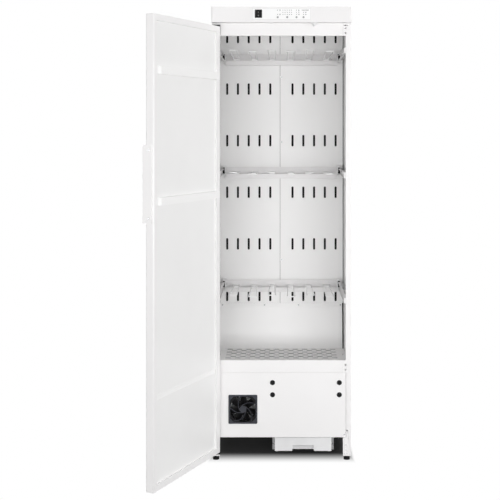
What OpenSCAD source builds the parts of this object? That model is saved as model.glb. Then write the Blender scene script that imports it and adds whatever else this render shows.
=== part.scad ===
// Free-standing drying cabinet: sheet-steel casing, hinged door, three pull-out
// hanging racks, heat-pump compartment and a water container below it.
// Origin on the floor under the middle of the casing, X right, -Y front, +Z up.

/* [Casing] */
// Width of the casing
cab_w = 595; // [570:1:640]
// Depth of the casing without door and cap
cab_d = 590; // [575:1:640]
// Height from the floor to the top of the casing
cab_h = 1938; // [1925:1:2000]
// Thickness of the sheet steel
sheet = 1.2; // [0.8:0.1:1.6]
// Height of the casing's lower edge over the floor
foot_h = 18; // [16:1:24]
// Top of the machine compartment's base
base_z = 99.5; // [98:0.5:104]
// Height of the perforated chamber floor
floor_z = 378; // [370:1:384]
// Top of the front lip, the lower edge of the opening
lip_z = 428; // [415:1:440]
// Depth of the opening's upper edge under the top
lintel_drop = 120; // [116:1:138]
// Depth of the chamber's ceiling under the top
ceiling_drop = 38; // [28:1:48]
// Depth of the air duct behind the slotted wall
duct_d = 45; // [42:1:60]
// Width of the casing's front flange beside the opening
flange_w = 22; // [20:1:24]
// Width of the front flange where the hinges and the legs are
lug_w = 34; // [32:1:36]
// Diameter of the hinge fixing holes
hinge_hole_d = 7; // [6:0.5:8]
// Joint gap between neighbouring sheet parts
joint_gap = 0.3; // [0.1:0.1:0.5]

/* [Top cap and controls] */
// Height of the cap over the door
cap_h = 66; // [62:1:70]
// How far the cap stands out from the casing
cap_out = 41; // [38:1:45]
// Width of the control panel
panel_w = 253; // [240:1:260]
// Height of the control panel
panel_h = 54; // [50:1:56]
// Thickness of the control panel
panel_t = 1; // [0.8:0.1:1.5]
// Width of the rocker switch's rim
rocker_w = 30; // [28:1:32]
// Height of the rocker switch's rim
rocker_h = 35; // [33:1:37]
// Diameter of a push button
button_d = 8; // [7:0.5:9]
// Travel of a push button
button_travel = 0.7; // [0.4:0.1:0.7]

/* [Door] */
// Thickness of the door
door_t = 35; // [34:1:38]
// Gap between the door and the casing
door_gap = 6; // [5.5:0.5:7]
// Angle at which the door stands open
door_open = 112; // [0:1:120]
// Distance of the hinge axis from the side of the casing
hinge_in = 16; // [15:0.5:18]
// Diameter of a hinge pin
pin_d = 8; // [6:0.5:9]
// Clearance round a pin or a shaft
pin_clear = 0.05; // [0.03:0.01:0.1]
// Rounding of the door's edges on the hinge side
hinge_round = 9; // [8.5:0.5:10]
// Width of the door's inner flange
door_flange = 24; // [22:1:28]
// Width of the door's inner flange on the hinge side
hinge_flange = 38; // [36:1:42]
// Depth of the recessed inner panel
door_recess = 8; // [6:1:9]
// Height of a door batten
batten_h = 30; // [26:1:36]
// Height of the handle
handle_h = 298; // [260:1:320]
// Width of the handle's plate
handle_w = 38.5; // [38:0.5:44]
// Thickness of the handle's plate
handle_t = 3; // [2.5:0.5:4]

/* [Hanging racks] */
// Depth of the upper rack's bar under the top
rack_drop = 194; // [190:1:210]
// Height of the lower rack's bar over the slotted wall's lower edge
rack_rise = 80; // [70:1:100]
// Gap between a rack bar and the slotted wall
bar_back = 5; // [3:0.5:10]
// Gap between a rack bar's end and its rail
bar_gap = 6; // [5.5:0.5:8]
// Height of a rack bar's front
bar_h = 22; // [18:1:26]
// How far the bar's back wall rises over its front
bar_rise = 32; // [26:1:36]
// Depth of a rack bar
bar_depth = 31; // [28:1:33]
// Number of hanging rods on a bar
rods = 6; // [4:1:6]
// Distance between hanging rods
rod_pitch = 85; // [75:1:90]
// Diameter of the rod's wire
wire_d = 5; // [4:0.5:6]
// Reach of a rod in front of its bar
rod_reach = 405; // [350:5:410]
// Width of a rod at its base
rod_base_w = 28; // [24:1:32]
// Width of a rod at its tip
rod_tip_w = 38; // [34:1:42]
// Bend radius of the wire at a rod's tip
rod_bend_r = 8; // [6:1:12]
// Height of a rail
rail_h = 24; // [22:1:28]

/* [Slots and holes] */
// Distance between the slots in the back wall
slot_pitch = 51.4; // [48:0.1:53]
// Height of a slot
slot_h = 55; // [40:1:60]
// Width of a slot
slot_w = 10; // [8:0.5:12]
// Distance between the rows of slots
slot_row = 246; // [230:1:250]
// Distance between the floor's holes
hole_pitch = 44; // [40:1:46]
// Length of a hole in the floor
hole_l = 28; // [22:1:30]
// Width of a hole in the floor
hole_w = 12; // [9:1:13]
// Distance between the rows of holes
hole_row = 34; // [30:1:36]

/* [Cooling fan] */
// Side of the square grille
grille_w = 124; // [120:1:128]
// Place of the grille's middle, left of the casing's middle
grille_x = 165; // [150:1:180]
// Height of the grille's middle
grille_z = 218; // [205:1:230]
// Radius of a vane's arc
vane_r = 49.6; // [48:0.1:52]
// Thickness of a vane
vane_t = 2.6; // [2:0.1:3.2]
// Outer radius of the fan's blades
blade_r = 54; // [48:1:55]

/* [Water container] */
// Width of the container
tank_w = 243; // [220:1:245]
// Height of the container
tank_h = 58; // [50:1:58]
// Depth of the container
tank_d = 370; // [320:5:380]
// Wall of the container
tank_wall = 2; // [1.5:0.1:3]
// Place of the container's middle, right of the casing's middle
tank_x = 93; // [80:1:100]

/* [Feet] */
// Diameter of a foot
foot_d = 27; // [24:1:29]
// Diameter of a foot's threaded stud
stud_d = 10; // [8:1:12]

/* [Hidden] */
$fn = 48;

// Casing
half_w = cab_w / 2;
inner_w = half_w - sheet;
front_y = -cab_d / 2;
back_y = cab_d / 2;
flange_y = front_y + sheet;
roof_z = cab_h - sheet;
leg_z = base_z - 1.5;
lip_low_z = floor_z - 2;
opening_x = half_w - flange_w;
lug_x = half_w - lug_w;
service_x = half_w - 21.5;
hinge_hole_x = half_w - 22.5;
hinge_hole_zs = [leg_z - 54.5, leg_z - 33];
lip_hole_zs = [lip_z - 41, lip_z - 20];
lintel_z = cab_h - lintel_drop;
ceiling_z = cab_h - ceiling_drop;
wall_y = back_y - duct_d;
wall_x = inner_w - 4;
wall_low_z = floor_z + 212;
lower_wall_y = wall_y - 27;
lower_screw_xs = [16 - inner_w, -80, 81, wall_x - 11];
lower_screw_z = wall_low_z - 9;
rack_low = wall_low_z + rack_rise;
rack_high = cab_h - rack_drop;
rack_z = [rack_low, (rack_low + rack_high) / 2, rack_high];
seam_screw_zs = [rack_z[0] + 127, rack_z[1] + 150, rack_z[2] - 77];
floor_screw_y = wall_y - 170;
screw_d = 4;
seam_x = -6.5;
seam_screw_x = seam_x + 8;
fold = 15;
cap_z = cab_h - cap_h;
cap_y = front_y - cap_out;
cap_wall = 1.5;

// Door, drawn shut and swung open about the hinge axis
door_y = front_y - door_gap;
door_out_y = door_y - door_t;
door_z0 = foot_h + 22;
door_z1 = cap_z - 16;
hinge_x = -half_w + hinge_in;
hinge_y = door_y - door_t / 2;
pin_r = pin_d / 2;
free_round = 6;
door_x0 = -half_w + hinge_flange;
door_x1 = half_w - door_flange;
recess_y = door_y - door_recess;
batten_zs = [cab_h - 295, cab_h - 798];
strip_z = door_z0 + 353;
handle_z = cab_h - 730;
hinge_plate_t = 3;
hinge_back_t = 2.5;
top_hinge_z = door_z1 + 2.3;
hinge_screw_d = 4.4;
top_hole_zs = [top_hinge_z - 28.3, top_hinge_z - 7.3];

// Controls
panel_z = cab_h - 31;
panel_y = cap_y - panel_t;
board_y = cap_y + 9;
board_t = 1.6;
rocker_x = -97.3;
rocker_z = panel_z + 1;
rocker_tilt = 7;
rocker_axis_y = cap_y + 3;
button_xs = [-15.7, 24.6, 64.2, 93.9];
button_z = panel_z - 13.8;
button_collar = 1.2;
tact_y = board_y - 2.6;
plunger_x = 139.7;
plunger_y = front_y - 14;
plunger_r = 6;

// Racks
bar_y = wall_y - bar_back - bar_depth;
rail_in = opening_x - 7.5;
bar_l = 2 * (rail_in - bar_gap);
rail_out = rail_in + 11;
rail_y0 = front_y + 5;
rail_y1 = wall_y - 4;
glider_clear = 0.4;
rod_z = wire_d / 2 + 2;
rod_drop = 6;

// Machine compartment
grille_t = 2;
fan_y = flange_y;
fan_d = 38;
fan_hub_r = 19;
duct_r = blade_r + 2;
axle_r = 2.5;
wheel_x = 150;
wheel_y = back_y - 165;
wheel_z = 172;
wheel_r = 72;
wheel_h = 58;
scroll_r = 88;
scroll_z0 = wheel_z - 8;
scroll_h = wheel_h + 16;
coil_x0 = -250;
coil_x1 = -60;
coil_z0 = base_z + 15;
coil_z1 = base_z + 225;
evaporator_y = front_y + 235;
condenser_y = front_y + 70;
compressor_x = 170;
compressor_y = front_y + 145;
compressor_r = 70;
spout_x = 12;
spout_y = evaporator_y + 30;
spout_r = 9;
gland_x = 0;
gland_z = base_z + 40;
gland_r = 8;

// Water container
tank_z0 = 38;
tank_y0 = front_y + 5;
runner_w = 9.5;
runner_z0 = 44;
rib_z = 66.5;

// Feet
foot_x = inner_w - 15.5;
foot_y = -flange_y - 16.5;
stud_r = stud_d / 2;
nut_z = foot_h + 6;

// ---- Shared shapes ----

// A flat shape in X and Z, given thickness t behind y.
module xz(y, t) {
  translate([0, y + t, 0]) rotate([90, 0, 0]) linear_extrude(t) children();
}

// A flat shape in Y and Z, given thickness t to the right of x.
module yz(x, t) {
  translate([x, 0, 0]) rotate([90, 0, 90]) linear_extrude(t) children();
}

// A flat rectangle between two corners.
module patch(x0, y0, x1, y1) {
  translate([x0, y0]) square([x1 - x0, y1 - y0]);
}

// A block between two corners.
module block(low, high) {
  translate(low) cube(high - low);
}

// A rectangle with one radius a corner, from the low corner round anticlockwise.
module soft_patch(x0, y0, x1, y1, r) {
  difference() {
    patch(x0, y0, x1, y1);
    corner_cut(x0, y0, 0, r[0]);
    corner_cut(x1, y0, 90, r[1]);
    corner_cut(x1, y1, 180, r[2]);
    corner_cut(x0, y1, 270, r[3]);
  }
}

// What a rounding of radius r takes off a corner.
module corner_cut(x, y, turn, r) {
  if (r > 0)
    translate([x, y]) rotate(turn) difference() {
      translate([-1, -1]) square(r + 1);
      translate([r, r]) circle(r);
    }
}

module round_patch(w, h, r) {
  soft_patch(-w / 2, -h / 2, w / 2, h / 2, [r, r, r, r]);
}

// A slot with round ends, longer along X.
module slot_shape(l, w) {
  square([l - w, w], center = true);
  for (side = [-1, 1])
    translate([side * (l - w) / 2, 0]) circle(w / 2);
}

// A countersunk screw that points along +Y, its head flush with y = 0.
module countersunk(d, l) {
  rotate([-90, 0, 0]) {
    cylinder(h = 2, r1 = d, r2 = d / 2);
    cylinder(h = l, r = d / 2);
  }
}

// A pan-head screw that points along +Y and seats on y = 0.
module pan_screw(d, l) {
  rotate([-90, 0, 0]) {
    translate([0, 0, -0.45 * d]) cylinder(h = 0.45 * d, r1 = 0.75 * d, r2 = d);
    cylinder(h = l, r = d / 2);
  }
}

// The hole of a screw through a sheet whose front is at y.
module screw_hole(x, y, z) {
  translate([x, y - 1, z]) rotate([-90, 0, 0])
    cylinder(h = sheet + 2, r = screw_d / 2 + pin_clear);
}

module both_sides() {
  children();
  mirror([1, 0, 0]) children();
}

// ---- Casing ----

module flange_shape() {
  difference() {
    polygon([
      [half_w, foot_h], [half_w, roof_z], [lug_x, roof_z], [lug_x, lintel_z],
      [opening_x, lintel_z], [opening_x, lip_z], [lug_x, lip_z], [lug_x, lip_low_z],
      [service_x + 1, lip_low_z], [service_x + 1, leg_z], [lug_x, leg_z - 6],
      [lug_x, foot_h]
    ]);
    for (z = concat(hinge_hole_zs, lip_hole_zs, top_hole_zs))
      translate([hinge_hole_x, z]) circle(hinge_hole_d / 2);
    translate([hinge_hole_x, top_hinge_z + 4.7]) slot_shape(20, 4);
    translate([service_x + 5, leg_z + 28]) circle(2.5);
    for (x = [lug_x + 8, lug_x + 18])
      translate([x, foot_h + 9]) circle(2.5);
  }
}

module side_panel() {
  color("whitesmoke") {
    xz(front_y, sheet) flange_shape();
    yz(inner_w, sheet) patch(front_y, foot_h, back_y, roof_z);
  }
}

module side_panel_left() {
  mirror([1, 0, 0]) side_panel();
}

module side_panel_right() {
  side_panel();
}

module back_panel() {
  vents = 7;
  color("gainsboro") {
    xz(back_y - sheet, sheet) difference() {
      patch(-inner_w, leg_z, inner_w, roof_z);
      for (i = [0 : vents - 1], j = [0, 1])
        translate([coil_x0 + 30 + j * 90, base_z + 60 + i * 18]) slot_shape(70, 6);
      translate([gland_x, gland_z]) circle(gland_r);
    }
    both_sides()
      block([inner_w - sheet, back_y - sheet - fold, base_z],
        [inner_w, back_y - sheet, roof_z]);
  }
}

module top_panel() {
  color("whitesmoke")
    block([-half_w, front_y, roof_z], [half_w, back_y, cab_h]);
}

module front_lintel() {
  x = lug_x - joint_gap;
  color("whitesmoke") {
    xz(front_y, sheet) patch(-x, lintel_z, x, roof_z);
    block([-inner_w, flange_y, lintel_z], [inner_w, flange_y + fold, lintel_z + sheet]);
  }
}

module front_lip() {
  x = lug_x - joint_gap;
  rear_y = flange_y + 17;
  color("whitesmoke") {
    xz(front_y, sheet) patch(-x, lip_low_z, x, lip_z);
    block([-inner_w, flange_y, lip_z - sheet], [inner_w, rear_y, lip_z]);
    block([-inner_w, rear_y - sheet, floor_z - 14], [inner_w, rear_y, lip_z]);
  }
}

module chamber_ceiling() {
  color("gainsboro") {
    block([-inner_w, flange_y, ceiling_z],
      [inner_w, back_y - sheet - fold, ceiling_z + sheet]);
    block([sheet - inner_w, flange_y, ceiling_z],
      [inner_w - sheet, back_y - sheet, ceiling_z + sheet]);
    both_sides()
      block([inner_w - sheet, flange_y, ceiling_z],
        [inner_w, back_y - sheet - fold, ceiling_z + fold]);
  }
}

// One half of the slotted back wall, from x0 to x1, slots on the side given.
module slotted_wall(x0, x1, side) {
  rows = floor((ceiling_z - wall_low_z) / slot_row) + 1;
  depth = back_y - sheet;
  color("gainsboro") {
    xz(wall_y, sheet) difference() {
      patch(x0, wall_low_z + joint_gap, x1, ceiling_z);
      if (x0 < seam_screw_x && seam_screw_x < x1)
        for (z = seam_screw_zs)
          translate([seam_screw_x, z]) circle(screw_d / 2 + pin_clear);
      for (i = [0 : 4], row = [0 : rows - 1])
        translate([side * (53 + i * slot_pitch), wall_low_z + 36 + row * slot_row])
          intersection() {
            rotate(90) slot_shape(slot_h, slot_w);
            translate([-slot_w, -slot_h])
              square([2 * slot_w, ceiling_z - 4 - wall_low_z - 36 - row * slot_row
                + slot_h]);
          }
    }
    for (x = [x0, x1 - sheet])
      block([x, wall_y, wall_low_z + joint_gap], [x + sheet, depth, ceiling_z]);
  }
}

module slotted_wall_left() {
  slotted_wall(-wall_x, seam_x - joint_gap, -1);
}

module slotted_wall_right() {
  slotted_wall(seam_x + joint_gap, wall_x, 1);
}

module lower_back_panel() {
  color("gainsboro") difference() {
    yz(-inner_w, inner_w + wall_x - 3)
      polygon([
        [wall_y, wall_low_z], [wall_y + sheet, wall_low_z],
        [wall_y + sheet, wall_low_z - 18], [lower_wall_y + sheet, floor_z],
        [lower_wall_y, floor_z], [wall_y, wall_low_z - 18]
      ]);
    for (x = lower_screw_xs)
      screw_hole(x, wall_y, lower_screw_z);
  }
}

module perforated_floor() {
  y0 = flange_y + 17 + joint_gap;
  y1 = lower_wall_y + sheet;
  rows = floor((y1 - 30 - y0 - hole_w) / hole_row) + 1;
  color("lightgray") {
    translate([0, 0, floor_z - sheet]) linear_extrude(sheet) difference() {
      patch(-inner_w, y0, inner_w, y1);
      for (row = [0 : rows - 1]) {
        odd = row % 2;
        columns = 12 - odd;
        for (i = [0 : columns - 1])
          translate([(i - (columns - 1) / 2) * hole_pitch, y1 - 18 - row * hole_row])
            slot_shape(hole_l, hole_w);
      }
      for (side = [-1, 1])
        translate([side * (inner_w - 12), floor_screw_y]) circle(screw_d / 2 + pin_clear);
    }
    both_sides()
      block([inner_w - sheet, y0, floor_z - fold], [inner_w, y1, floor_z]);
    block([-inner_w, y1 - sheet, floor_z - fold], [inner_w, y1, floor_z]);
  }
}

plug_xs = [-38, service_x - 28];
plug_zs = [lip_low_z - 44, lip_low_z - 96];
plug_r = 10;

module service_panel() {
  low_z = leg_z + joint_gap;
  high_z = lip_low_z - joint_gap;
  color("whitesmoke") {
    xz(front_y, sheet) difference() {
      patch(-service_x, low_z, service_x, high_z);
      translate([-grille_x, grille_z]) round_patch(grille_w - 8, grille_w - 8, 6);
      for (x = plug_xs, z = plug_zs)
        translate([x, z]) circle(plug_r);
      for (side = [-1, 1])
        translate([side * (service_x - 6), low_z + 11]) circle(screw_d / 2 + pin_clear);
    }
    both_sides()
      block([service_x - sheet, front_y, base_z + joint_gap],
        [service_x, front_y + fold, high_z]);
  }
}

module panel_plugs() {
  color("black")
    for (x = plug_xs, z = plug_zs)
      translate([x, front_y, z]) rotate([-90, 0, 0]) {
        translate([0, 0, -1]) cylinder(h = 1, r1 = plug_r, r2 = plug_r + 1);
        difference() {
          cylinder(h = 8, r = plug_r - 0.1);
          translate([0, 0, 1]) cylinder(h = 8, r = plug_r - 1.5);
        }
      }
}

// ---- Cap and controls ----

module top_cap() {
  wall = cap_wall;
  switch_r = 12;
  color("whitesmoke") difference() {
    translate([0, 0, cap_z]) linear_extrude(cap_h)
      soft_patch(-half_w, cap_y, half_w, front_y, [5, 5, 0, 0]);
    translate([0, 0, cap_z + wall]) linear_extrude(cap_h - 2 * wall)
      soft_patch(-half_w + wall, cap_y + wall, half_w - wall, front_y + 1, [4, 4, 0, 0]);
    xz(cap_y - 1, wall + 2) translate([0, panel_z])
      round_patch(panel_w - 13, panel_h - 10, 5);
    translate([plunger_x, plunger_y, cap_z - 1]) cylinder(h = wall + 2, r = switch_r);
  }
}

module rocker_place() {
  translate([rocker_x, 0, rocker_z]) children();
}

module control_panel() {
  color("white") xz(panel_y, panel_t) difference() {
    translate([0, panel_z]) round_patch(panel_w, panel_h, 8);
    translate([rocker_x, rocker_z]) square([rocker_w - 3, rocker_h - 3], center = true);
    for (x = button_xs)
      translate([x, button_z]) circle(button_d / 2 + 0.3);
  }
}

module control_board() {
  w = panel_w + 4;
  h = panel_h - 12;
  color("seagreen") {
    xz(board_y, board_t) difference() {
      translate([0, panel_z]) square([w, h], center = true);
      translate([rocker_x, rocker_z])
        square([rocker_w - 1.5, rocker_h - 1.5], center = true);
    }
    for (x = button_xs)
      translate([x, board_y, button_z]) rotate([90, 0, 0])
        cylinder(h = board_y - tact_y, r = 3);
    for (x = [-1, 1], z = [-1, 1])
      translate([x * (w / 2 - 5), board_y, panel_z + z * (h / 2 - 5)])
        rotate([90, 0, 0]) cylinder(h = board_y - cap_y - cap_wall, r = 3);
  }
}

module switch_housings() {
  w = rocker_w - 3.4;
  h = rocker_h - 3.4;
  back = board_y + 10;
  color("dimgray") {
    rocker_place() difference() {
      union() {
        xz(panel_y - 1.2, 1.2) round_patch(rocker_w, rocker_h, 1.5);
        xz(panel_y, back - panel_y) square([w, h], center = true);
      }
      xz(panel_y - 2, rocker_axis_y + 9 - panel_y)
        square([w - 1.4, h - 1.4], center = true);
      translate([-rocker_w, rocker_axis_y, 0]) rotate([0, 90, 0])
        cylinder(h = 2 * rocker_w, r = 1.5 + pin_clear);
    }
    // The door switch: a guide under the cap that holds the plunger
    translate([plunger_x, plunger_y, cap_z - 3]) difference() {
      union() {
        translate([-15, -10, 0]) cube([30, 23.9, 3]);
        cylinder(h = 20, r = 11.7);
      }
      translate([0, 0, -1]) cylinder(h = 15, r = plunger_r + pin_clear);
    }
  }
}

module rocker_switch() {
  w = rocker_w - 5.6;
  h = rocker_h - 7;
  axle = rocker_w - 3.6;
  color("black") rocker_place()
    translate([0, rocker_axis_y, 0]) rotate([rocker_tilt, 0, 0]) {
      difference() {
        translate([-w / 2, 0, 0]) rotate([90, 0, 90]) linear_extrude(w)
          polygon([
            [-5.4, -h / 2], [-4, 0], [-5.4, h / 2], [1, h / 2], [4, 0], [1, -h / 2]
          ]);
        translate([0, -5.6, 0]) for (z = [-h / 3.4, h / 3.4])
          translate([0, 0, z]) sphere(1);
      }
      translate([-axle / 2, 0, 0]) rotate([0, 90, 0]) cylinder(h = axle, r = 1.5);
    }
}

module button(i) {
  r = button_d / 2;
  color("silver") translate([button_xs[i], 0, button_z]) rotate([-90, 0, 0]) {
    translate([0, 0, panel_y - 0.9]) cylinder(h = panel_t + 1.2, r = r);
    translate([0, 0, cap_y + 0.3]) cylinder(h = 1, r = r + button_collar);
    translate([0, 0, cap_y + 0.3])
      cylinder(h = tact_y - button_travel - 0.2 - cap_y - 0.3, r = 1.6);
  }
}

module button_1() { button(0); }
module button_2() { button(1); }
module button_3() { button(2); }
module button_4() { button(3); }

module door_switch_plunger() {
  color("white") translate([plunger_x, plunger_y, cap_z - 15]) {
    cylinder(h = 1.5, r1 = 3.5, r2 = 5);
    translate([0, 0, 1.5]) cylinder(h = 4.5, r1 = 5, r2 = 9);
    translate([0, 0, 5]) cylinder(h = 15, r = plunger_r);
  }
}

// ---- Hinges and screws ----

module hinge_bracket(plate_z, up, holes) {
  x0 = hinge_x - 11;
  x1 = hinge_hole_x * -1 + 13;
  pin_l = 18;
  far = up > 0 ? holes[0] - 8 : holes[1] + 10;
  difference() {
    union() {
      block([x0, hinge_y - 13, plate_z], [x1, front_y, plate_z + hinge_plate_t]);
      block([x0, front_y - hinge_back_t, min(far, plate_z)],
        [x1, front_y, max(far, plate_z + hinge_plate_t)]);
      translate([hinge_x, hinge_y, up > 0 ? plate_z - pin_l : plate_z])
        cylinder(h = pin_l + hinge_plate_t, r = pin_r);
      translate([hinge_x, hinge_y, up > 0 ? plate_z - 2 : plate_z + hinge_plate_t])
        cylinder(h = 2, r = pin_r + 3);
    }
    for (z = holes)
      translate([-hinge_hole_x, front_y - hinge_back_t, z])
        rotate([-90, 0, 0]) {
          translate([0, 0, -0.1])
            cylinder(h = 2.1, r1 = hinge_screw_d + 0.15, r2 = hinge_screw_d / 2 + 0.05);
          cylinder(h = 9, r = hinge_screw_d / 2 + 0.05);
        }
  }
}

module hinge_brackets() {
  color("black") {
    hinge_bracket(top_hinge_z, 1, top_hole_zs);
    hinge_bracket(door_z0 - 2.3 - hinge_plate_t, -1, hinge_hole_zs);
  }
}

module fixing_screws() {
  color("gray") {
    for (z = concat(top_hole_zs, hinge_hole_zs))
      translate([-hinge_hole_x, front_y - hinge_back_t, z])
        countersunk(hinge_screw_d, hinge_back_t + 2);
    for (z = seam_screw_zs)
      translate([seam_screw_x, wall_y, z]) pan_screw(screw_d, 6);
    for (x = lower_screw_xs)
      translate([x, wall_y, lower_screw_z]) pan_screw(screw_d, 6);
    both_sides() {
      translate([service_x - 6, front_y, leg_z + joint_gap + 11]) pan_screw(screw_d, 8);
      translate([inner_w - 12, floor_screw_y, floor_z]) rotate([-90, 0, 0])
        pan_screw(screw_d, 8);
    }
  }
}

// ---- Door, drawn shut ----

module hung() {
  translate([hinge_x, hinge_y, 0]) rotate([0, 0, -door_open])
    translate([-hinge_x, -hinge_y, 0]) children();
}

module door_skin() {
  s = sheet;
  hr = hinge_round;
  fr = free_round;
  color("whitesmoke") hung() difference() {
    translate([0, 0, door_z0]) linear_extrude(door_z1 - door_z0)
      soft_patch(-half_w, door_out_y, half_w, door_y, [hr, fr, fr, hr]);
    translate([0, 0, door_z0 + s]) linear_extrude(door_z1 - door_z0 - 2 * s)
      soft_patch(-half_w + s, door_out_y + s, half_w - s, door_y - s,
        [hr - s, fr - s, fr - s, hr - s]);
    block([door_x0, door_y - s - 1, door_z0 + door_flange],
      [door_x1, door_y + 1, door_z1 - door_flange]);
    for (z = [door_z0 - 1, door_z1 - s - 1])
      translate([hinge_x, hinge_y, z]) cylinder(h = s + 2, r = pin_r + 0.5);
    for (z = [handle_z - handle_screw_z, handle_z + handle_screw_z])
      translate([half_w - 10, handle_screw_y, z]) rotate([0, 90, 0])
        cylinder(h = 20, r = 2.5);
  }
}

module door_inner_panels() {
  t = 0.8;
  rim = 8;
  z0 = door_z0 + door_flange;
  z1 = door_z1 - door_flange;
  rim_y = door_y - sheet;
  color("white") hung() difference() {
    union() {
      block([door_x0, recess_y - t, z0], [door_x1, rim_y, z1]);
      block([door_x0 - rim, rim_y - t, z0 - rim], [door_x1 + rim, rim_y, z1 + rim]);
    }
    block([door_x0 + t, recess_y, z0 + t], [door_x1 - t, rim_y + 1, z1 - t]);
    block([-half_w, recess_y - 5, strip_z - 0.5], [half_w, door_y, strip_z + 0.5]);
  }
}

module batten(z) {
  low_x = hinge_x - 4.5;
  step_x = door_x0 + 1;
  end_x = door_x1 - 20;
  top_y = door_y + 3;
  h = batten_h;
  wall = 1;
  translate([0, 0, z - h / 2]) difference() {
    linear_extrude(h) polygon([
      [low_x, door_y], [low_x + 2, top_y], [end_x - 11, top_y], [end_x, recess_y],
      [step_x, recess_y], [step_x, door_y]
    ]);
    translate([0, 0, wall]) linear_extrude(h - 2 * wall) polygon([
      [step_x + wall, recess_y - 1], [step_x + wall, top_y - wall],
      [end_x - 11.6, top_y - wall], [end_x - 1.6, recess_y - 1]
    ]);
  }
}

module door_stiffeners() {
  x0 = door_x0 + 1;
  x1 = door_x1 - 1;
  color("whitesmoke") hung() {
    for (z = batten_zs)
      batten(z);
    block([x0, recess_y, strip_z - 9], [x1, recess_y + 1, strip_z + 9]);
    for (z = [strip_z - 9, strip_z + 7])
      block([x0, recess_y, z], [x1, recess_y + 2, z + 2]);
  }
}

module hinge_bushes() {
  l = 16;
  color("black") hung()
    for (z = [door_z0 + sheet, door_z1 - sheet - l])
      translate([hinge_x, hinge_y, z]) difference() {
        cylinder(h = l, r = pin_r + 5);
        translate([0, 0, -1]) cylinder(h = l + 2, r = pin_r + pin_clear);
      }
}

handle_y1 = door_y - 9;
handle_y0 = handle_y1 - handle_w;
handle_screw_y = handle_y1 - 13;
handle_screw_z = handle_h / 2 - 19;

module door_handle() {
  lip = 22;
  z0 = handle_z - handle_h / 2;
  color("whitesmoke") hung() difference() {
    union() {
      yz(half_w, handle_t)
        soft_patch(handle_y0, z0, handle_y1, z0 + handle_h, [3, 3, 3, 3]);
      xz(handle_y0, handle_t)
        soft_patch(half_w + handle_t - lip, z0 + 20, half_w + handle_t - 1,
          z0 + handle_h - 20, [6, 0, 0, 6]);
    }
    for (z = [handle_z - handle_screw_z, handle_z + handle_screw_z])
      translate([half_w - 1, handle_screw_y, z]) rotate([0, 90, 0])
        cylinder(h = handle_t + 2, r = 2.4);
  }
}

module handle_screws() {
  color("silver") hung()
    for (z = [handle_z - handle_screw_z, handle_z + handle_screw_z])
      translate([half_w + handle_t, handle_screw_y, z]) rotate([0, 0, 90])
        pan_screw(4.4, 12);
}

module door_magnets() {
  l = 60;
  color("dimgray") hung()
    for (z = [door_z0 + 80, (door_z0 + door_z1) / 2, door_z1 - 80])
      block([door_x1 + 9, door_y - sheet - 8, z - l / 2],
        [half_w - free_round, door_y - sheet, z + l / 2]);
}

// ---- Hanging racks ----

module rack_rail(z) {
  wall = sheet;
  difference() {
    block([rail_in, rail_y0, z], [rail_out, rail_y1, z + rail_h]);
    block([rail_in - 1, rail_y0 + 6, z + wall],
      [rail_out - wall, rail_y1 + 1, z + rail_h - wall]);
  }
  for (y = [rail_y0 + 30, (rail_y0 + rail_y1) / 2, rail_y1 - 40])
    translate([rail_out, y, z + rail_h / 2]) rotate([0, 90, 0])
      cylinder(h = inner_w - rail_out, r = 7);
}

module rack_rails() {
  color("whitesmoke")
    for (z = rack_z)
      both_sides() rack_rail(z);
}

// The folded bar, its top front edge at height z.
module rack_bar(z) {
  y0 = bar_y;
  y1 = bar_y + bar_depth;
  s = sheet;
  color("whitesmoke")
    yz(-bar_l / 2, bar_l)
      polygon([
        [y0, z], [y0, z - bar_h], [y1, z - bar_h], [y1, z + bar_rise],
        [y1 - s, z + bar_rise], [y1 - s, z - bar_h + s], [y0 + s, z - bar_h + s],
        [y0 + s, z]
      ]);
}

// Points of a turn at distance c from its centre, each with its heading.
function turn_points(centre, c, h0, h1, steps) = [
  for (i = [0 : steps])
    let (h = h0 + (h1 - h0) * i / steps)
      [centre[0] + c * cos(h + 90), centre[1] + c * sin(h + 90), h]
];

// A round wire along a flat path of points [x, y, heading].
module wire(path, r, sides) {
  last = len(path) - 1;
  points = [
    for (p = path, j = [0 : sides - 1])
      let (turn = 360 * (j + 0.5) / sides, out = r * cos(turn))
        [p[0] - out * sin(p[2]), p[1] + out * cos(p[2]), r * sin(turn)]
  ];
  walls = [
    for (i = [0 : last - 1], j = [0 : sides - 1])
      let (a = i * sides + j, b = i * sides + (j + 1) % sides)
        each [[a, a + sides, b], [b, a + sides, b + sides]]
  ];
  first_cap = [for (j = [0 : sides - 1]) j];
  last_cap = [for (j = [sides - 1 : -1 : 0]) last * sides + j];
  polyhedron(points, concat(walls, [first_cap, last_cap]));
}

// One hairpin rod: two legs that spread towards a square end with round corners.
module rod(lift) {
  r = wire_d / 2;
  base = rod_base_w / 2 - r;
  tip = rod_tip_w / 2 - r;
  reach = rod_reach - r;
  inside = bar_depth - sheet - 1.5;
  spread = atan((tip - base) / reach);
  h0 = spread - 90;
  cut = rod_bend_r * tan((90 + spread) / 2);
  start = [tip - cut * cos(h0), -reach - cut * sin(h0)];
  centre = start + rod_bend_r * [cos(h0 - 90), sin(h0 - 90)];
  half = concat(
    [[base - inside * tan(spread), inside, h0]],
    turn_points(centre, rod_bend_r, h0, -180, 4)
  );
  other = [for (i = [len(half) - 1 : -1 : 0]) [-half[i][0], half[i][1], -half[i][2]]];
  rotate([-asin(lift / rod_reach), 0, 0]) wire(concat(half, other), r, 8);
}

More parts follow.
